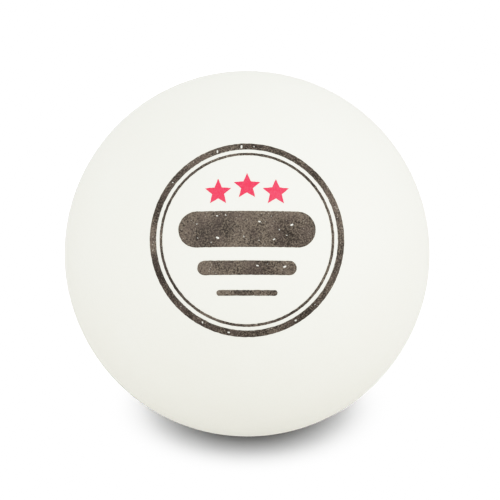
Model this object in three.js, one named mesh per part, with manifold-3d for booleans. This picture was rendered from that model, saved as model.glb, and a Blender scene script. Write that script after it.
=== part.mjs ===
// A table tennis ball of the 40+ size class: two moulded ABS half shells, joined by a lapped and
// welded seam, with ink marks printed round the front pole.
//
// Millimetres, +Z up, origin at the ball's centre. The ball is built with its seam axis along Y and
// its printed pole at -Y. It is then turned about X, so that the print faces forwards and up.

import * as THREE from "three";
import { mergeVertices } from "three/addons/utils/BufferGeometryUtils.js";
import Module from "manifold-3d";

// The shells
const BALL_DIAMETER = 40.2;
const WALL = 0.5;
const SEAM_WALL = 0.8; // the rims are thicker, so that each leaf of the lap can be moulded
const LAP_LENGTH = 1.0; // the front half's tongue reaches this far into the rear half
const GATE_RADIUS = 0.8; // the moulding gate's mark inside each pole
const GATE_HEIGHT = 0.12;

// The weld between them
const WELD_ROOM = 0.1; // from one half's rim faces to the other's
const WELD_CLEARANCE = 0.02; // between the weld and each half
const WELD_BEAD = 0.1; // what is squeezed out past the rims, inside

// The print, on a plane square to the print axis: x to the right, y up, from the front pole
const PRINT_TILT = THREE.MathUtils.degToRad(31); // from level
const INK_CLEARANCE = 0.02; // between the ink and the shell
const INK_THICKNESS = 0.05;
const INK_REACH = THREE.MathUtils.degToRad(30); // the ink layer's angle from the pole
const RINGS = {
  outer: { radius: 10.2, width: 0.65 },
  inner: { radius: 9.15, width: 0.25 },
};
const STAR = { radius: 1.45, waist: 0.45, points: 5 };
const STAR_ARC = { radius: 7.6, top: 5.5, step: THREE.MathUtils.degToRad(23.5) };
const STAR_PLACES = { left: -1, middle: 0, right: 1 }; // in steps along the arc, from its top
const BARS = {
  wide: { width: 14.4, height: 3.8, centre: 0.95 },
  middle: { width: 10.4, height: 1.5, centre: -3.1 },
  narrow: { width: 6.4, height: 0.6, centre: -5.7 },
};

// How finely round shapes are divided
const TURN_STEPS = 56; // round the seam axis
const ARC_STEPS = 14; // from a pole to the seam
const INK_STEPS = 10; // from the front pole to the ink layer's edge
const CURVE_STEPS = 8; // along each arc of a printed outline

// Sizes that follow from these
const RADIUS = BALL_DIAMETER / 2;
const INNER_RADIUS = RADIUS - WALL;
const SEAM_INNER_RADIUS = RADIUS - SEAM_WALL;
const LAP_RADIUS = RADIUS - SEAM_WALL / 2;
const HALF_ROOM = WELD_ROOM / 2;
const INK_INNER_RADIUS = RADIUS + INK_CLEARANCE;
const INK_OUTER_RADIUS = INK_INNER_RADIUS + INK_THICKNESS;
const FRONT = -1; // the front pole is at -Y and the rear pole at +Y
const REAR = 1;

const wasm = await Module();
wasm.setup();

// A closed geometry as a manifold-3d solid
function solidOf(geometry) {
  const bare = geometry.clone();
  bare.deleteAttribute("normal");
  bare.deleteAttribute("uv");
  const merged = mergeVertices(bare);
  return new wasm.Manifold(
    new wasm.Mesh({
      numProp: 3,
      vertProperties: merged.attributes.position.array,
      triVerts: merged.index.array,
    }),
  );
}

// A manifold-3d solid as a geometry
function geometryOf(solid) {
  const mesh = solid.getMesh();
  const geometry = new THREE.BufferGeometry();
  geometry.setAttribute("position", new THREE.BufferAttribute(mesh.vertProperties, 3));
  geometry.setIndex(new THREE.BufferAttribute(mesh.triVerts, 1));
  geometry.computeVertexNormals();
  return geometry;
}

// Points (distance from the seam axis, place along it) on a circle about the centre. Angles are
// from the pole on the given side.
function arc(side, radius, from, to, steps) {
  return Array.from({ length: steps + 1 }, (_, i) => {
    const angle = from + ((to - from) * i) / steps;
    return new THREE.Vector2(radius * Math.sin(angle), side * radius * Math.cos(angle));
  });
}

const points = (...pairs) => pairs.map(([r, y]) => new THREE.Vector2(r, y));

// A profile turned about the seam axis
const turned = (profile) => new THREE.LatheGeometry(profile, TURN_STEPS);

// One half's profile, from its outer pole over the rim to its inner pole. The inside is straight
// at the rim, and it ends at the gate mark.
function halfProfile(side, rim) {
  const rimAngle = Math.acos(HALF_ROOM / RADIUS);
  const straightAngle = Math.asin(SEAM_INNER_RADIUS / INNER_RADIUS);
  const gateAngle = Math.asin(GATE_RADIUS / INNER_RADIUS);
  const gateTop = side * (INNER_RADIUS - GATE_HEIGHT);
  return [
    ...arc(side, RADIUS, 0, rimAngle, ARC_STEPS),
    ...rim,
    ...arc(side, INNER_RADIUS, straightAngle, gateAngle, ARC_STEPS),
    ...points([GATE_RADIUS, gateTop], [0, gateTop]),
  ];
}

// The front half ends in a tongue on the inner side of its rim.
function frontHalf() {
  const tongue = points(
    [LAP_RADIUS - HALF_ROOM, -HALF_ROOM],
    [LAP_RADIUS - HALF_ROOM, LAP_LENGTH],
    [SEAM_INNER_RADIUS, LAP_LENGTH],
  );
  return turned(halfProfile(FRONT, tongue));
}

// The rear half ends in a leaf on the outer side of its rim, which laps over the tongue.
function rearHalf() {
  const shoulder = LAP_LENGTH + WELD_ROOM;
  const leaf = points(
    [LAP_RADIUS + HALF_ROOM, HALF_ROOM],
    [LAP_RADIUS + HALF_ROOM, shoulder],
    [SEAM_INNER_RADIUS, shoulder],
  );
  return turned(halfProfile(REAR, leaf).reverse());
}

// The weld fills the stepped gap between the rims, from the ball's surface to a bead inside.
function weld() {
  const half = HALF_ROOM - WELD_CLEARANCE;
  const inside = SEAM_INNER_RADIUS - WELD_BEAD;
  const endLow = LAP_LENGTH + WELD_CLEARANCE;
  const endHigh = LAP_LENGTH + WELD_ROOM - WELD_CLEARANCE;
  const loop = points(
    [RADIUS, -half],
    [RADIUS, half],
    [LAP_RADIUS + half, half],
    [LAP_RADIUS + half, endHigh],
    [inside, endHigh],
    [inside, endLow],
    [LAP_RADIUS - half, endLow],
    [LAP_RADIUS - half, -half],
  );
  return turned([...loop, loop[0]]);
}

// A ring of ink at a constant distance from the print axis
function inkRing({ radius, width }) {
  const from = Math.asin((radius - width) / RADIUS);
  const to = Math.asin(radius / RADIUS);
  const loop = [
    ...arc(FRONT, INK_OUTER_RADIUS, from, to, 1),
    ...arc(FRONT, INK_INNER_RADIUS, to, from, 1),
  ];
  return turned([...loop, loop[0]]);
}

// The whole cap that a printed outline is cut from
const inkLayer = solidOf(
  turned([
    ...arc(FRONT, INK_OUTER_RADIUS, 0, INK_REACH, INK_STEPS),
    ...arc(FRONT, INK_INNER_RADIUS, INK_REACH, 0, INK_STEPS),
  ]),
);

// The part of the ink layer that lies behind an outline drawn on the print plane
function inkMark(outline) {
  const prism = new THREE.ExtrudeGeometry(outline, {
    depth: INK_OUTER_RADIUS + WALL,
    bevelEnabled: false,
    curveSegments: CURVE_STEPS,
  });
  return geometryOf(inkLayer.intersect(solidOf(prism.rotateX(Math.PI / 2))));
}

// An upright star, a number of steps along the arc that the stars' centres lie on
function starOutline(steps) {
  const turn = steps * STAR_ARC.step;
  const centreX = STAR_ARC.radius * Math.sin(turn);
  const centreY = STAR_ARC.top - STAR_ARC.radius * (1 - Math.cos(turn));
  const corners = Array.from({ length: 2 * STAR.points }, (_, i) => {
    const radius = STAR.radius * (i % 2 ? STAR.waist : 1);
    const angle = Math.PI / 2 + (i * Math.PI) / STAR.points;
    return new THREE.Vector2(
      centreX + radius * Math.cos(angle),
      centreY + radius * Math.sin(angle),
    );
  });
  return new THREE.Shape(corners);
}

// A level bar with round ends
function barOutline({ width, height, centre }) {
  const round = height / 2;
  const reach = width / 2 - round;
  const outline = new THREE.Shape();
  outline.absarc(reach, centre, round, -Math.PI / 2, Math.PI / 2, false);
  outline.absarc(-reach, centre, round, Math.PI / 2, 1.5 * Math.PI, false);
  return outline;
}

const plastic = (color, roughness) =>
  new THREE.MeshStandardMaterial({ color, roughness, metalness: 0 });
const shellPlastic = () => plastic(0xf1f2ec, 0.6);
const weldPlastic = () => plastic(0xe9eae2, 0.5);
const darkInk = () => plastic(0x54473c, 0.5);
const starInk = () => plastic(0xf84a78, 0.5);

const ball = new THREE.Group();

function add(name, geometry, material) {
  const mesh = new THREE.Mesh(geometry, material);
  mesh.name = name;
  ball.add(mesh);
}

add("front_half_shell", frontHalf(), shellPlastic());
add("rear_half_shell", rearHalf(), shellPlastic());
add("seam_weld", weld(), weldPlastic());

for (const [place, ring] of Object.entries(RINGS)) {
  add(`print_ring_${place}`, inkRing(ring), darkInk());
}
for (const [place, bar] of Object.entries(BARS)) {
  add(`print_bar_${place}`, inkMark(barOutline(bar)), darkInk());
}
for (const [place, steps] of Object.entries(STAR_PLACES)) {
  add(`grade_star_${place}`, inkMark(starOutline(steps)), starInk());
}

ball.rotation.x = -PRINT_TILT;

export default ball;
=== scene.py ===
"""The looks of a seamed table tennis ball: two moulded half shells, the weld between them, and the
marks printed round the front pole. Metres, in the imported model's frame."""

import math
import random

import bmesh
import bpy
from mathutils import Matrix, Vector, noise


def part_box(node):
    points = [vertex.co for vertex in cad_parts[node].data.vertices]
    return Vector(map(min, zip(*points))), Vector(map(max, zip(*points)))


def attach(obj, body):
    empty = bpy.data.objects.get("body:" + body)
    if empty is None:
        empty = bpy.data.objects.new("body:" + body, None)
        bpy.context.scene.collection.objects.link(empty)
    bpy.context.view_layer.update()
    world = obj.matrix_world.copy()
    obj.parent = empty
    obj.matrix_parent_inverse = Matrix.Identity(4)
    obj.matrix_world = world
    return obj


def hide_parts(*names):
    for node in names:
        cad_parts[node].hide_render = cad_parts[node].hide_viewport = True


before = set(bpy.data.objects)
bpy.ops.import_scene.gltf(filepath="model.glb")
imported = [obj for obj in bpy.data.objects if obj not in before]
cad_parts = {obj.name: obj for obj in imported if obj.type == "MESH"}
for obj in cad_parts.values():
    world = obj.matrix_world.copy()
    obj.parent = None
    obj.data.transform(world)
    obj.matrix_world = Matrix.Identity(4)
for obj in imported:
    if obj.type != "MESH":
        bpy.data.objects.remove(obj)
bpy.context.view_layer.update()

# --- Sizes ---------------------------------------------------------------------------------------

BALL_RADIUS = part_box("seam_weld")[1].x

# The shells, as they are moulded
WALL = 0.5e-3
RIM_WALL = 0.8e-3
LAP_LENGTH = 1.0e-3  # the front half's tongue
RIM_GAP = 0.06e-3  # from one half's rim faces to the other's
RIM_ROUND = 0.05e-3  # the rounding of a rim's outer corner
GATE_RADIUS = 0.8e-3
GATE_HEIGHT = 0.12e-3

# The weld in the gap
WELD_SINK = 0.03e-3  # how far it stays under the ball's surface
WELD_BEAD = 0.1e-3
WELD_CLEARANCE = 0.004e-3

# The ink film
INK_HEIGHT = 0.03e-3  # above the shell
INK_ROOT = 0.03e-3  # into the shell
INK_EDGE = 0.02e-3  # the rounding of its border
INK_CELL = 0.35e-3  # the longest side of a facet
INK_STEP = 0.09e-3  # along a border
INK_MERGE = 0.012e-3  # points nearer than this become one
INK_CUT_SNAP = 1e-8  # points nearer than this to a cut lie on it
INK_RAGGED = 0.028e-3  # how far a border wanders
RAGGED_SLOW = 2200  # its slow waves to the metre
RAGGED_FAST = 6500
RAGGED_FAST_SHARE = 0.6  # how high the fast waves are beside the slow ones
STAR_WAIST = 0.45
STAR_POINTS = 5

# The small spots that took no ink
SPOT_SMALLEST = 0.045e-3
SPOT_LARGEST = 0.15e-3
SPOT_BIAS = 2  # above 1, small spots are commoner than large ones
SPOT_STRETCH = 0.35  # how far a spot is from round
SPOT_CORNERS = 12
SPOT_MARGIN = 0.3e-3  # from a spot's centre to the mark's border
RING_SPOTS = 9
RING_SPOT_SEED = 3
BAR_SPOTS = 0.4e6  # to each square metre
BAR_SPOT_SEED = 5

# How finely round shapes are divided
CAP_CELLS = 48  # across a quarter of the ball's girth
CAP_HALF = CAP_CELLS // 2
TURN_STEPS = 4 * CAP_CELLS  # all round a rim
ARC_STEPS = 30  # inside, from the rim to the gate
ROUND_STEPS = 4
FEWEST_STEPS = 3  # along an arc of a border

# The plastics. A range is the part of a noise, which goes from 0 to 1, over which a change happens.
NOISE_RANGE = (0.3, 0.7)  # where nearly all of a noise lies
SHELL_WHITE = (0.905, 0.916, 0.846)
SHELL_CREAM = (0.897, 0.902, 0.828)
SHELL_SHADE = (0.882, 0.890, 0.816)
SHELL_SHADE_RANGE = (0.35, 0.75)
SHELL_ROUGH = (0.50, 0.55, 0.62)  # the least, the usual and the most
SHELL_CLOUD = 6.0e-3  # the clouds' size
SHELL_GRAIN = 0.14e-3
SHELL_RELIEF = 0.006e-3  # the grain's depth
WELD_WHITE = (0.80, 0.80, 0.75)
WELD_YELLOW = (0.76, 0.75, 0.68)
WELD_ROUGH = (0.32, 0.40, 0.46)
WELD_RIPPLE = 0.8e-3
WELD_RELIEF = 0.01e-3

# The inks: where they are deep, thin, worn off in a pit, and redder than elsewhere
DARK_DEEP = (0.018, 0.010, 0.004)
DARK_THIN = (0.224, 0.180, 0.134)
DARK_BARE = (0.42, 0.38, 0.32)
DARK_RED = (0.125, 0.090, 0.074)
STAR_DEEP = (0.925, 0.033, 0.104)
STAR_THIN = (0.92, 0.092, 0.172)
STAR_BARE = (0.92, 0.34, 0.40)
STAR_RED = (0.93, 0.047, 0.092)
BAR_COVER = 0.015  # how much less of the ink is worn
RING_COVER = 0.12
DARK_WEAR = 0.26  # how much more of it is worn in the worst patches
STAR_WEAR = 0.13
DARK_PITS = 0.26  # how far a pit reaches there, as a share of the pits' spacing
STAR_PITS = 0.12
INK_ROUGH = (0.42, 0.50, 0.60)
INK_SPECULAR = 0.3
INK_PATCH = 4.5e-3  # the size of a patch that took less ink
INK_PATCH_RANGE = (0.35, 0.68)
INK_STIPPLE = 0.15e-3
INK_THIN_RANGE = (0.42, 0.74)
INK_PIT = 0.34e-3  # the pits' spacing
INK_PIT_EDGE = 0.12  # the width of a pit's soft edge, as a share of their spacing
INK_DRIFT = 1.3e-3  # the size of a drift to the redder ink
INK_DRIFT_RANGE = (0.4, 0.75)
INK_DRIFT_MOST = 0.5
INK_RELIEF = 0.01e-3

# The picture
CAMERA_ELEVATION = math.radians(26.3)
CAMERA_DISTANCE = 0.40
CAMERA_NEAR = 0.01  # where its view begins
CAMERA_FAR = 100
SENSOR_MM = 36  # its sensor's width
BALL_SHARE = 0.3659  # the ball's radius, as a share of the picture's width
OFFSET_RIGHT = -0.0057  # the ball's centre from the picture's, as shares of its width
OFFSET_UP = -0.0069
FLOOR_SIZE = 3.6
FLOOR_GAP = 5e-3  # from the sheet that is seen down to the one that lights the ball

# The light
ROOM_LIGHT = 0.967  # what the white room gives the ball
OVERHEAD_HEIGHT = 2.0  # over the floor
OVERHEAD_RADIUS = 3.12
OVERHEAD_POWER = 6980
OVERHEAD_PLACE = (-0.15, -1.4)
FLOOR_TONE = 0.05  # of the sheet that is seen
BOUNCE_TONE = (0.850, 0.830, 0.820)  # of the sheet that lights the ball
SIDE_LIGHT_SIZE = 1.2
SIDE_LIGHTS = {  # the place and the power of each
    "front_light": ((-0.65, -1.5, 1.0), 3.8),
    "right_light": ((1.6, -0.3, 0.6), 4.1),
}
WHITE = (1, 1, 1, 1)

# The picture's tones
SHOULDER_START = 0.75  # they follow the light up to here
SHOULDER_END = 1.5  # and are white from here
SHOULDER_STEPS = 6
SHARED_CURVE = 3  # the number of the curve that red, green and blue share

# The numbers of a Mix node's colour sockets
MIX_SHARE = 0
MIX_FIRST = 6
MIX_SECOND = 7
MIX_RESULT = 2


# --- The print's own axes: x to the right, y up, z out of the front pole --------------------------


def mean_point(node):
    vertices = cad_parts[node].data.vertices
    return sum((v.co for v in vertices), Vector()) / len(vertices)


def print_to_ball():
    out = mean_point("print_ring_outer").normalized()
    right = Vector((1, 0, 0))
    up = out.cross(right)
    return Matrix((right, up, out)).transposed()


PRINT_TO_BALL = print_to_ball()
BALL_TO_PRINT = PRINT_TO_BALL.inverted()


def print_points(node):
    """A CAD mark's vertices on the print's plane, which give the mark's place and size."""
    return [(BALL_TO_PRINT @ v.co).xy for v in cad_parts[node].data.vertices]


# --- Shells --------------------------------------------------------------------------------------


def cap_rim():
    """The points round the rim of half a cube, in order. Its sides are at CAP_HALF, in cells."""
    h = CAP_HALF
    rim = [(h, b) for b in range(-h, h)]
    rim += [(-a, h) for a in range(-h, h)]
    rim += [(-h, -b) for b in range(-h, h)]
    rim += [(a, -h) for a in range(-h, h)]
    return rim


def cap_point(a, b, c, radius, reach):
    """The place on a sphere of a point on the half cube, with its rim at the angle reach."""
    spread = [math.tan(x / CAP_HALF * math.pi / 4) for x in (a, b, c)]
    d = Vector(spread).normalized()
    polar = math.atan2(math.hypot(d.x, d.y), d.z) * reach / (math.pi / 2)
    turn = math.atan2(d.y, d.x)
    return Vector(
        (
            radius * math.sin(polar) * math.cos(turn),
            radius * math.sin(polar) * math.sin(turn),
            radius * math.cos(polar),
        )
    )


def add_cap(bm, radius, reach):
    """A dome of even quads about +z, spread from half a cube. Returns its rim's vertices."""
    h = CAP_HALF
    rim = cap_rim()
    verts = {}

    def vert(a, b, c):
        key = (a, b, c)
        if key not in verts:
            verts[key] = bm.verts.new(cap_point(a, b, c, radius, reach))
        return verts[key]

    for row in range(h):
        for (a0, b0), (a1, b1) in zip(rim, rim[1:] + rim[:1]):
            corners = ((a0, b0, row), (a1, b1, row), (a1, b1, row + 1), (a0, b0, row + 1))
            bm.faces.new([vert(*corner) for corner in corners])
    for a in range(-h, h):
        for b in range(-h, h):
            corners = ((a, b, h), (a + 1, b, h), (a + 1, b + 1, h), (a, b + 1, h))
            bm.faces.new([vert(*corner) for corner in corners])
    return [vert(a, b, 0) for a, b in rim]


def add_rings(bm, ring, profile):
    """Carries a ring of vertices on along a profile of (radius, z). Returns the last ring."""
    turns = [math.atan2(v.co.y, v.co.x) for v in ring]
    for radius, z in profile:
        place = [(radius * math.cos(t), radius * math.sin(t), z) for t in turns]
        following = [bm.verts.new(p) for p in place]
        bridge(bm, ring, following)
        ring = following
    return ring


def bridge(bm, ring, following):
    """Joins two rings that have the same number of vertices."""
    count = len(ring)
    for i in range(count):
        j = (i + 1) % count
        bm.faces.new((ring[j], ring[i], following[i], following[j]))


def rim_corner():
    """The quarter round from the ball's surface into a rim's face, as (radius, z) points."""
    face = RIM_GAP / 2
    turns = [math.pi / 2 * i / ROUND_STEPS for i in range(1, ROUND_STEPS + 1)]
    return [
        (BALL_RADIUS - RIM_ROUND * (1 - math.cos(t)), face + RIM_ROUND * (1 - math.sin(t)))
        for t in turns
    ]


def half_shell(name, rim_profile, flipped):
    """A half that is made with its pole at +z. Its rim is the profile, from outside to inside."""
    inner = BALL_RADIUS - WALL
    rim_inner = BALL_RADIUS - RIM_WALL
    corner_z = RIM_GAP / 2 + RIM_ROUND
    reach = math.acos(corner_z / BALL_RADIUS)
    start = math.asin(rim_inner / inner)
    gate = math.asin(GATE_RADIUS / inner)
    angles = [start + (gate - start) * i / ARC_STEPS for i in range(ARC_STEPS + 1)]
    inside = [(inner * math.sin(t), inner * math.cos(t)) for t in angles]
    boss_z = inner - GATE_HEIGHT
    boss = [(GATE_RADIUS, boss_z), (GATE_RADIUS / 2, boss_z)]

    bm = bmesh.new()
    ring = add_cap(bm, BALL_RADIUS, reach)
    ring = add_rings(bm, ring, rim_corner() + rim_profile + inside + boss)
    tip = bm.verts.new((0, 0, boss_z))
    for i, vert in enumerate(ring):
        bm.faces.new((ring[(i + 1) % len(ring)], vert, tip))
    turn = Matrix.Rotation(math.pi, 3, "X") if flipped else Matrix.Identity(3)
    bmesh.ops.transform(bm, matrix=(PRINT_TO_BALL @ turn).to_4x4(), verts=bm.verts)
    return new_piece(name, bm)


def front_half():
    """Its tongue stands on the inner side of the rim, past the seam."""
    lap = BALL_RADIUS - RIM_WALL / 2 - RIM_GAP / 2
    rim_inner = BALL_RADIUS - RIM_WALL
    tongue = [(lap, RIM_GAP / 2), (lap, -LAP_LENGTH), (rim_inner, -LAP_LENGTH)]
    return half_shell("front_shell", tongue, flipped=False)


def rear_half():
    """Its leaf stands on the outer side of the rim, round the tongue."""
    lap = BALL_RADIUS - RIM_WALL / 2 + RIM_GAP / 2
    rim_inner = BALL_RADIUS - RIM_WALL
    shoulder = LAP_LENGTH + RIM_GAP
    leaf = [(lap, RIM_GAP / 2), (lap, shoulder), (rim_inner, shoulder)]
    return half_shell("rear_shell", leaf, flipped=True)


def weld():
    """The stepped ring of solvent-welded plastic in the gap, with a bead inside."""
    half = RIM_GAP / 2 - WELD_CLEARANCE
    outer = BALL_RADIUS - WELD_SINK
    lap = BALL_RADIUS - RIM_WALL / 2
    inside = BALL_RADIUS - RIM_WALL - WELD_BEAD
    end_high = -LAP_LENGTH - WELD_CLEARANCE
    end_low = -LAP_LENGTH - RIM_GAP + WELD_CLEARANCE
    loop = [
        (outer, -half),
        (lap + half, -half),
        (lap + half, end_low),
        (inside, end_low),
        (inside, end_high),
        (lap - half, end_high),
        (lap - half, half),
        (outer, half),
    ]
    bm = bmesh.new()
    radius, z = loop[0]
    turns = [2 * math.pi * i / TURN_STEPS for i in range(TURN_STEPS)]
    first = [bm.verts.new((radius * math.cos(t), radius * math.sin(t), z)) for t in turns]
    last = add_rings(bm, first, loop[1:])
    bridge(bm, last, first)
    bmesh.ops.transform(bm, matrix=PRINT_TO_BALL.to_4x4(), verts=bm.verts)
    return new_piece("seam_weld_ring", bm)


# --- Ink -----------------------------------------------------------------------------------------


def wandering(point, normal, seed):
    """A border point, moved along its normal as a stamped edge wanders."""
    slow = noise.noise(Vector((point.x, point.y, seed)) * RAGGED_SLOW)
    fast = noise.noise(Vector((point.x, point.y, seed)) * RAGGED_FAST)
    return point + normal * INK_RAGGED * (slow + RAGGED_FAST_SHARE * fast)


def even_border(corners):
    """A closed outline with a point about every INK_STEP, its edges roughened. The number of points
    is its seed, so that outlines of different sizes wander differently."""
    points = []
    count = len(corners)
    for i, corner in enumerate(corners):
        following = corners[(i + 1) % count]
        steps = max(1, round((following - corner).length / INK_STEP))
        points += [corner.lerp(following, s / steps) for s in range(steps)]
    rough = []
    for i, point in enumerate(points):
        along = points[(i + 1) % len(points)] - points[i - 1]
        normal = Vector((along.y, -along.x)).normalized()
        rough.append(wandering(point, normal, len(points)))
    return rough


def on_sphere(point, height):
    """The place over a point of the print's plane, at a height over the ball's surface."""
    radius = BALL_RADIUS + height
    return Vector((point.x, point.y, math.sqrt(radius**2 - point.x**2 - point.y**2)))


def cut_into_cells(bm):
    """Cuts a flat outline along a grid, so that it can follow the ball."""
    xs = [v.co.x for v in bm.verts]
    ys = [v.co.y for v in bm.verts]
    for axis, low, high in ((0, min(xs), max(xs)), (1, min(ys), max(ys))):
        for k in range(math.ceil(low / INK_CELL), math.floor(high / INK_CELL) + 1):
            place, normal = Vector(), Vector()
            place[axis] = k * INK_CELL
            normal[axis] = 1
            geometry = bm.verts[:] + bm.edges[:] + bm.faces[:]
            bmesh.ops.bisect_plane(
                bm,
                geom=geometry,
                dist=INK_CUT_SNAP,
                plane_co=place,
                plane_no=normal,
            )


def ink_mark(name, borders, material):
    """A film of ink inside the first border and outside the others."""
    bm = bmesh.new()
    edges = []
    for border in borders:
        verts = [bm.verts.new((p.x, p.y, 0)) for p in border]
        edges += [bm.edges.new(pair) for pair in zip(verts, verts[1:] + verts[:1])]
    bmesh.ops.triangle_fill(bm, use_beauty=True, edges=edges, normal=(0, 0, 1))
    bmesh.ops.join_triangles(
        bm,
        faces=bm.faces,
        angle_face_threshold=math.pi,
        angle_shape_threshold=math.pi,
    )
    cut_into_cells(bm)
    bmesh.ops.remove_doubles(bm, verts=bm.verts, dist=INK_MERGE)
    bmesh.ops.recalc_face_normals(bm, faces=bm.faces)
    if sum(f.normal.z for f in bm.faces) < 0:
        bmesh.ops.reverse_faces(bm, faces=bm.faces)
    close_film(bm)
    bmesh.ops.transform(bm, matrix=PRINT_TO_BALL.to_4x4(), verts=bm.verts)
    return new_piece(name, bm, material)


def inward_steps(border):
    """For each vertex of a flat sheet's border, a unit step into the sheet."""
    steps = {vert: Vector() for edge in border for vert in edge.verts}
    for edge in border:
        start, end = (vert.co for vert in edge.verts)
        along = (end - start).normalized()
        inward = edge.link_faces[0].calc_center_median() - start
        inward = (inward - along * inward.dot(along)).normalized()
        for vert in edge.verts:
            steps[vert] += inward
    return {vert: step.normalized() for vert, step in steps.items()}


def in_face_order(edge):
    """A border edge's vertices, in the order in which its face goes round."""
    loop = edge.link_loops[0]
    return loop.vert, loop.link_loop_next.vert


def close_film(bm):
    """Turns a flat sheet into a closed film on the ball: a top, a rounded edge, and a root that
    lies in the shell."""
    top = bm.faces[:]
    sheet = bm.verts[:]
    border = [edge for edge in bm.edges if edge.is_boundary]
    steps = inward_steps(border)
    sides = [in_face_order(edge) for edge in border]
    root = bmesh.ops.duplicate(bm, geom=top)["vert_map"]
    bmesh.ops.reverse_faces(bm, faces=[face for face in bm.faces if face not in set(top)])
    lip = {vert: bm.verts.new(vert.co) for vert in steps}
    for start, end in sides:
        bm.faces.new((end, start, lip[start], lip[end]))
        bm.faces.new((lip[end], lip[start], root[start], root[end]))
    for vert in sheet:
        flat = vert.co.copy()
        root[vert].co = on_sphere(flat, -INK_ROOT)
        if vert in lip:
            lip[vert].co = on_sphere(flat, INK_HEIGHT - INK_EDGE)
            flat += steps[vert] * INK_EDGE
        vert.co = on_sphere(flat, INK_HEIGHT)


def new_piece(name, bm, material=None):
    for face in bm.faces:
        face.smooth = True
    mesh = bpy.data.meshes.new(name)
    bm.to_mesh(mesh)
    bm.free()
    piece = bpy.data.objects.new(name, mesh)
    bpy.context.scene.collection.objects.link(piece)
    if material:
        mesh.materials.append(material)
    return piece


def arc_points(centre, radius, start, end):
    """Points a step apart along an arc, without its end."""
    steps = max(FEWEST_STEPS, round(abs(end - start) * radius / INK_STEP))
    turns = [start + (end - start) * i / steps for i in range(steps)]
    return [centre + radius * Vector((math.cos(t), math.sin(t))) for t in turns]


def bare_spots(count, seed, place):
    """Oval holes where the stamp left no ink. place makes a point from two numbers from 0 to 1."""
    chance = random.Random(seed)
    centres = []
    spots = []
    while len(spots) < count:
        centre = place(chance.random(), chance.random())
        size = chance.random() ** SPOT_BIAS
        radius = SPOT_SMALLEST + (SPOT_LARGEST - SPOT_SMALLEST) * size
        lean = math.pi * chance.random()
        if any((centre - other).length < SPOT_MARGIN * 2 for other in centres):
            continue
        centres.append(centre)
        spot = []
        for i in range(SPOT_CORNERS):
            turn = 2 * math.pi * i / SPOT_CORNERS
            reach = radius * (1 + SPOT_STRETCH * math.cos(2 * (turn - lean)))
            spot.append(centre + reach * Vector((math.cos(turn), math.sin(turn))))
        spots.append(spot)
    return spots


def ring_borders(node):
    reach = [p.length for p in print_points(node)]
    outer, inner = max(reach), min(reach)
    middle = (outer + inner) / 2
    room = (outer - inner) / 2 - SPOT_MARGIN

    def place(around, across):
        turn = 2 * math.pi * around
        return (middle + room * (2 * across - 1)) * Vector((math.cos(turn), math.sin(turn)))

    full = 2 * math.pi
    borders = [arc_points(Vector((0, 0)), r, 0, full) for r in (outer, inner)]
    count = RING_SPOTS if room > 0 else 0
    return borders + bare_spots(count, RING_SPOT_SEED, place)


def bar_borders(node):
    points = print_points(node)
    high = max(p.y for p in points)
    low = min(p.y for p in points)
    right = max(p.x for p in points)
    end_radius = (high - low) / 2
    centre = (high + low) / 2
    reach = right - end_radius
    quarter = math.pi / 2
    border = arc_points(Vector((reach, centre)), end_radius, -quarter, quarter)
    border += arc_points(Vector((-reach, centre)), end_radius, quarter, 3 * quarter)
    room = end_radius - SPOT_MARGIN

    def place(along, across):
        return Vector((reach * (2 * along - 1), centre + room * (2 * across - 1)))

    count = round(BAR_SPOTS * 2 * reach * 2 * room) if room > 0 else 0
    return [border] + bare_spots(count, BAR_SPOT_SEED, place)


def star_borders(node):
    points = print_points(node)
    right = max(p.x for p in points)
    left = min(p.x for p in points)
    radius = (right - left) / 2 / math.sin(2 * math.pi / STAR_POINTS)
    centre = Vector(((right + left) / 2, max(p.y for p in points) - radius))
    corners = []
    for i in range(2 * STAR_POINTS):
        turn = math.pi / 2 + i * math.pi / STAR_POINTS
        reach = radius * (STAR_WAIST if i % 2 else 1)
        corners.append(centre + reach * Vector((math.cos(turn), math.sin(turn))))
    return [corners]


# --- Materials -----------------------------------------------------------------------------------


def new_material(name, colour, roughness):
    material = bpy.data.materials.new(name)
    material.use_nodes = True
    shader = material.node_tree.nodes["Principled BSDF"]
    shader.inputs["Base Color"].default_value = (*colour, 1)
    shader.inputs["Roughness"].default_value = roughness
    return material


def add_node(tree, kind, inputs, **settings):
    """A node whose inputs are set by number or name, each to a value or from another's output."""
    node = tree.nodes.new(kind)
    for name, value in settings.items():
        setattr(node, name, value)
    for key, value in inputs.items():
        if isinstance(value, bpy.types.NodeSocket):
            tree.links.new(value, node.inputs[key])
        else:
            node.inputs[key].default_value = value
    return node


def grain(tree, size, octaves, shift=0.0):
    """Soft noise from 0 to 1, with lumps of about this size. A shift takes another part of it, so
    that two noises don't line up."""
    place = tree.nodes.new("ShaderNodeTexCoord").outputs["Object"]
    moved = add_node(tree, "ShaderNodeVectorMath", {0: place, 1: (shift,) * 3}, operation="ADD")
    inputs = {"Vector": moved.outputs[0], "Scale": 1 / size, "Detail": octaves}
    return add_node(tree, "ShaderNodeTexNoise", inputs).outputs[0]


def pits(tree, spacing):
    """The distance to the nearest of many scattered points, 0 at a point, in spacings."""
    place = tree.nodes.new("ShaderNodeTexCoord").outputs["Object"]
    inputs = {"Vector": place, "Scale": 1 / spacing}
    return add_node(tree, "ShaderNodeTexVoronoi", inputs).outputs["Distance"]


def levels(tree, value, low, high, bottom=0.0, top=1.0):
    """Carries the range from low to high onto the one from bottom to top."""
    inputs = {"Value": value, 1: low, 2: high, 3: bottom, 4: top}
    return add_node(tree, "ShaderNodeMapRange", inputs).outputs[0]


def maths(tree, operation, first, second):
    return add_node(tree, "ShaderNodeMath", {0: first, 1: second}, operation=operation).outputs[0]


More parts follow.
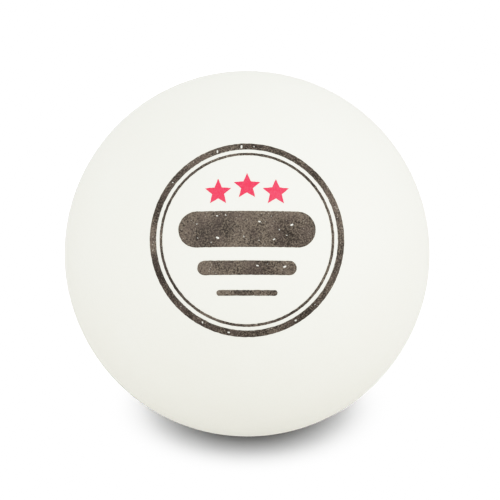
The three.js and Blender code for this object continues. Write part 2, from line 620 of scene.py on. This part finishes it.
def blended(tree, share, first, second):
    """The first colour where the share is 0 and the second where it is 1."""
    colours = [c if isinstance(c, bpy.types.NodeSocket) else (*c, 1) for c in (first, second)]
    inputs = {MIX_SHARE: share, MIX_FIRST: colours[0], MIX_SECOND: colours[1]}
    return add_node(tree, "ShaderNodeMix", inputs, data_type="RGBA").outputs[MIX_RESULT]


def dress(material, colour, roughness, height, depth):
    """Wires a colour, a roughness and a relief of this depth into the material's shader."""
    tree = material.node_tree
    shader = tree.nodes["Principled BSDF"]
    relief = add_node(tree, "ShaderNodeBump", {"Height": height, "Distance": depth})
    tree.links.new(colour, shader.inputs["Base Color"])
    tree.links.new(roughness, shader.inputs["Roughness"])
    tree.links.new(relief.outputs[0], shader.inputs["Normal"])
    return material


def shell_material():
    """Matte moulded ABS: a cool and a warm white in faint clouds, and a fine even grain."""
    least, usual, most = SHELL_ROUGH
    material = new_material("shell_plastic", SHELL_WHITE, usual)
    tree = material.node_tree
    clouds = levels(tree, grain(tree, SHELL_CLOUD, octaves=3), *NOISE_RANGE)
    skin = grain(tree, SHELL_GRAIN, octaves=2)
    colour = blended(tree, clouds, SHELL_WHITE, SHELL_CREAM)
    colour = blended(tree, levels(tree, skin, *SHELL_SHADE_RANGE), colour, SHELL_SHADE)
    roughness = levels(tree, skin, *NOISE_RANGE, least, most)
    return dress(material, colour, roughness, skin, SHELL_RELIEF)


def weld_material():
    """The same plastic, melted: smoother, a little yellower, with slow ripples."""
    least, usual, most = WELD_ROUGH
    material = new_material("weld_plastic", WELD_WHITE, usual)
    tree = material.node_tree
    ripples = grain(tree, WELD_RIPPLE, octaves=3)
    colour = blended(tree, levels(tree, ripples, *NOISE_RANGE), WELD_WHITE, WELD_YELLOW)
    roughness = levels(tree, ripples, *NOISE_RANGE, least, most)
    return dress(material, colour, roughness, ripples, WELD_RELIEF)


def ink_material(name, tones, cover, wear, pit_reach):
    """Stamped ink: a stipple of deep and thin spots, patches that took less ink, and bare pits.
    Its hue drifts to a redder one."""
    deep, thin, bare, red = tones
    least, usual, most = INK_ROUGH
    material = new_material(name, deep, usual)
    tree = material.node_tree
    tree.nodes["Principled BSDF"].inputs["Specular IOR Level"].default_value = INK_SPECULAR
    patches = levels(tree, grain(tree, INK_PATCH, octaves=2), *INK_PATCH_RANGE)
    stipple = grain(tree, INK_STIPPLE, octaves=1, shift=INK_PATCH)
    worn = maths(tree, "ADD", stipple, levels(tree, patches, 0, 1, -cover, wear - cover))
    spots = levels(tree, worn, *INK_THIN_RANGE)
    reach = levels(tree, patches, 0, 1, pit_reach / 2, pit_reach)
    holes = levels(tree, maths(tree, "SUBTRACT", reach, pits(tree, INK_PIT)), 0, INK_PIT_EDGE)
    slow = grain(tree, INK_DRIFT, octaves=2, shift=INK_DRIFT)
    drift = levels(tree, slow, *INK_DRIFT_RANGE, 0, INK_DRIFT_MOST)
    colour = blended(tree, drift, blended(tree, spots, deep, thin), red)
    colour = blended(tree, holes, colour, bare)
    roughness = levels(tree, spots, 0, 1, least, most)
    height = maths(tree, "SUBTRACT", stipple, holes)
    return dress(material, colour, roughness, height, INK_RELIEF)


def dark_ink_material(name, cover):
    tones = (DARK_DEEP, DARK_THIN, DARK_BARE, DARK_RED)
    return ink_material(name, tones, cover, DARK_WEAR, DARK_PITS)


def star_ink_material():
    tones = (STAR_DEEP, STAR_THIN, STAR_BARE, STAR_RED)
    return ink_material("star_ink", tones, 0.0, STAR_WEAR, STAR_PITS)


# --- The ball ------------------------------------------------------------------------------------


def finish_piece(piece, node):
    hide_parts(node)
    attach(piece, "root")


def make_ball():
    shell = shell_material()
    for make, node in ((front_half, "front_half_shell"), (rear_half, "rear_half_shell")):
        piece = make()
        piece.data.materials.append(shell)
        finish_piece(piece, node)
    piece = weld()
    piece.data.materials.append(weld_material())
    finish_piece(piece, "seam_weld")


def make_print():
    ring_ink = dark_ink_material("ring_ink", RING_COVER)
    bar_ink = dark_ink_material("bar_ink", BAR_COVER)
    star_ink = star_ink_material()
    kinds = (
        ("print_ring", ("outer", "inner"), ring_borders, ring_ink, "dark_ink"),
        ("print_bar", ("wide", "middle", "narrow"), bar_borders, bar_ink, "dark_ink"),
        ("grade_star", ("left", "middle", "right"), star_borders, star_ink, "star_ink"),
    )
    for kind, places, borders_of, ink, slot in kinds:
        for place in places:
            node = f"{kind}_{place}"
            borders = [even_border(border) for border in borders_of(node)]
            finish_piece(ink_mark(f"{node}_ink", borders, ink), node)


# --- Camera, floor and light ---------------------------------------------------------------------


def make_camera():
    """In front of the ball and above it, moved aside so that the ball is a little off centre."""
    data = bpy.data.cameras.new("camera")
    silhouette = math.tan(math.asin(BALL_RADIUS / CAMERA_DISTANCE))
    data.sensor_width = SENSOR_MM
    data.lens = SENSOR_MM * BALL_SHARE / silhouette
    data.clip_start = CAMERA_NEAR
    data.clip_end = CAMERA_FAR
    camera = bpy.data.objects.new("camera", data)
    bpy.context.scene.collection.objects.link(camera)
    back = Vector((0, -math.cos(CAMERA_ELEVATION), math.sin(CAMERA_ELEVATION)))
    right = Vector((1, 0, 0))
    up = back.cross(right)
    view_width = CAMERA_DISTANCE * SENSOR_MM / data.lens
    aside = right * OFFSET_RIGHT + up * OFFSET_UP
    camera.location = back * CAMERA_DISTANCE - aside * view_width
    camera.rotation_euler = back.to_track_quat("Z", "Y").to_euler()
    bpy.context.scene.camera = camera


def floor_sheet(name, material, depth):
    bm = bmesh.new()
    bmesh.ops.create_grid(bm, x_segments=1, y_segments=1, size=FLOOR_SIZE / 2)
    bmesh.ops.translate(bm, verts=bm.verts, vec=(0, 0, -BALL_RADIUS - depth))
    sheet = new_piece(name, bm, material)
    return sheet


def make_floor():
    """Two sheets: the upper is what the camera sees, and the lower lights the ball from below."""
    paper = new_material("floor_paper", (FLOOR_TONE,) * 3, 1.0)
    seen = floor_sheet("floor", paper, 0)
    seen.visible_diffuse = False
    seen.visible_glossy = False
    seen.visible_transmission = False
    seen.visible_shadow = False
    paper = new_material("floor_bounce_paper", BOUNCE_TONE, 1.0)
    bounce = floor_sheet("floor_bounce", paper, FLOOR_GAP)
    bounce.visible_camera = False
    return seen


def area_light(name, shape, size, power, place, aim):
    data = bpy.data.lights.new(name, "AREA")
    data.shape = shape
    data.size = size
    data.energy = power
    light = bpy.data.objects.new(name, data)
    light.location = place
    light.rotation_euler = (Vector(place) - Vector(aim)).to_track_quat("Z", "Y").to_euler()
    light.visible_camera = False
    bpy.context.scene.collection.objects.link(light)
    return light


def make_lights(floor):
    """A very wide light that only the seen floor takes, where the ball shades it, and two soft ones
    for the ball."""
    height = OVERHEAD_HEIGHT - BALL_RADIUS
    place = (*OVERHEAD_PLACE, height)
    aim = (*OVERHEAD_PLACE, 0)
    size = 2 * OVERHEAD_RADIUS
    overhead = area_light("overhead_light", "DISK", size, OVERHEAD_POWER, place, aim)
    lit = bpy.data.collections.new("lit_by_overhead_light")
    lit.objects.link(floor)
    overhead.light_linking.receiver_collection = lit
    for name, (place, power) in SIDE_LIGHTS.items():
        area_light(name, "SQUARE", SIDE_LIGHT_SIZE, power, place, (0, 0, 0))


def make_world():
    """A white room. The camera sees pure white, so that a low view has no horizon."""
    world = bpy.data.worlds.new("soft_white")
    bpy.context.scene.world = world
    world.use_nodes = True
    tree = world.node_tree
    light = tree.nodes["Background"]
    light.inputs["Color"].default_value = WHITE
    light.inputs["Strength"].default_value = ROOM_LIGHT
    seen = add_node(tree, "ShaderNodeBackground", {"Color": WHITE, "Strength": SHOULDER_END})
    from_camera = tree.nodes.new("ShaderNodeLightPath").outputs["Is Camera Ray"]
    inputs = {0: from_camera, 1: light.outputs[0], 2: seen.outputs[0]}
    mix = add_node(tree, "ShaderNodeMixShader", inputs)
    tree.links.new(mix.outputs[0], tree.nodes["World Output"].inputs["Surface"])


def make_tones():
    """Highlights bend over to white, as a camera's do, and shadows fade out without an edge."""
    view = bpy.context.scene.view_settings
    view.view_transform = "Standard"
    view.use_curve_mapping = True
    curve = view.curve_mapping
    curve.white_level = (SHOULDER_END,) * 3
    curve.extend = "HORIZONTAL"
    points = curve.curves[SHARED_CURVE].points
    room = SHOULDER_END - SHOULDER_START
    bend = room / (1 - SHOULDER_START)
    for i in range(SHOULDER_STEPS):
        left = 1 - i / SHOULDER_STEPS
        light = SHOULDER_END - room * left
        points.new(light / SHOULDER_END, 1 - (1 - SHOULDER_START) * left**bend)
    for straight in (points[0], points[1]):
        straight.handle_type = "VECTOR"
    curve.update()


make_camera()
make_ball()
make_print()
make_lights(make_floor())
make_world()
make_tones()
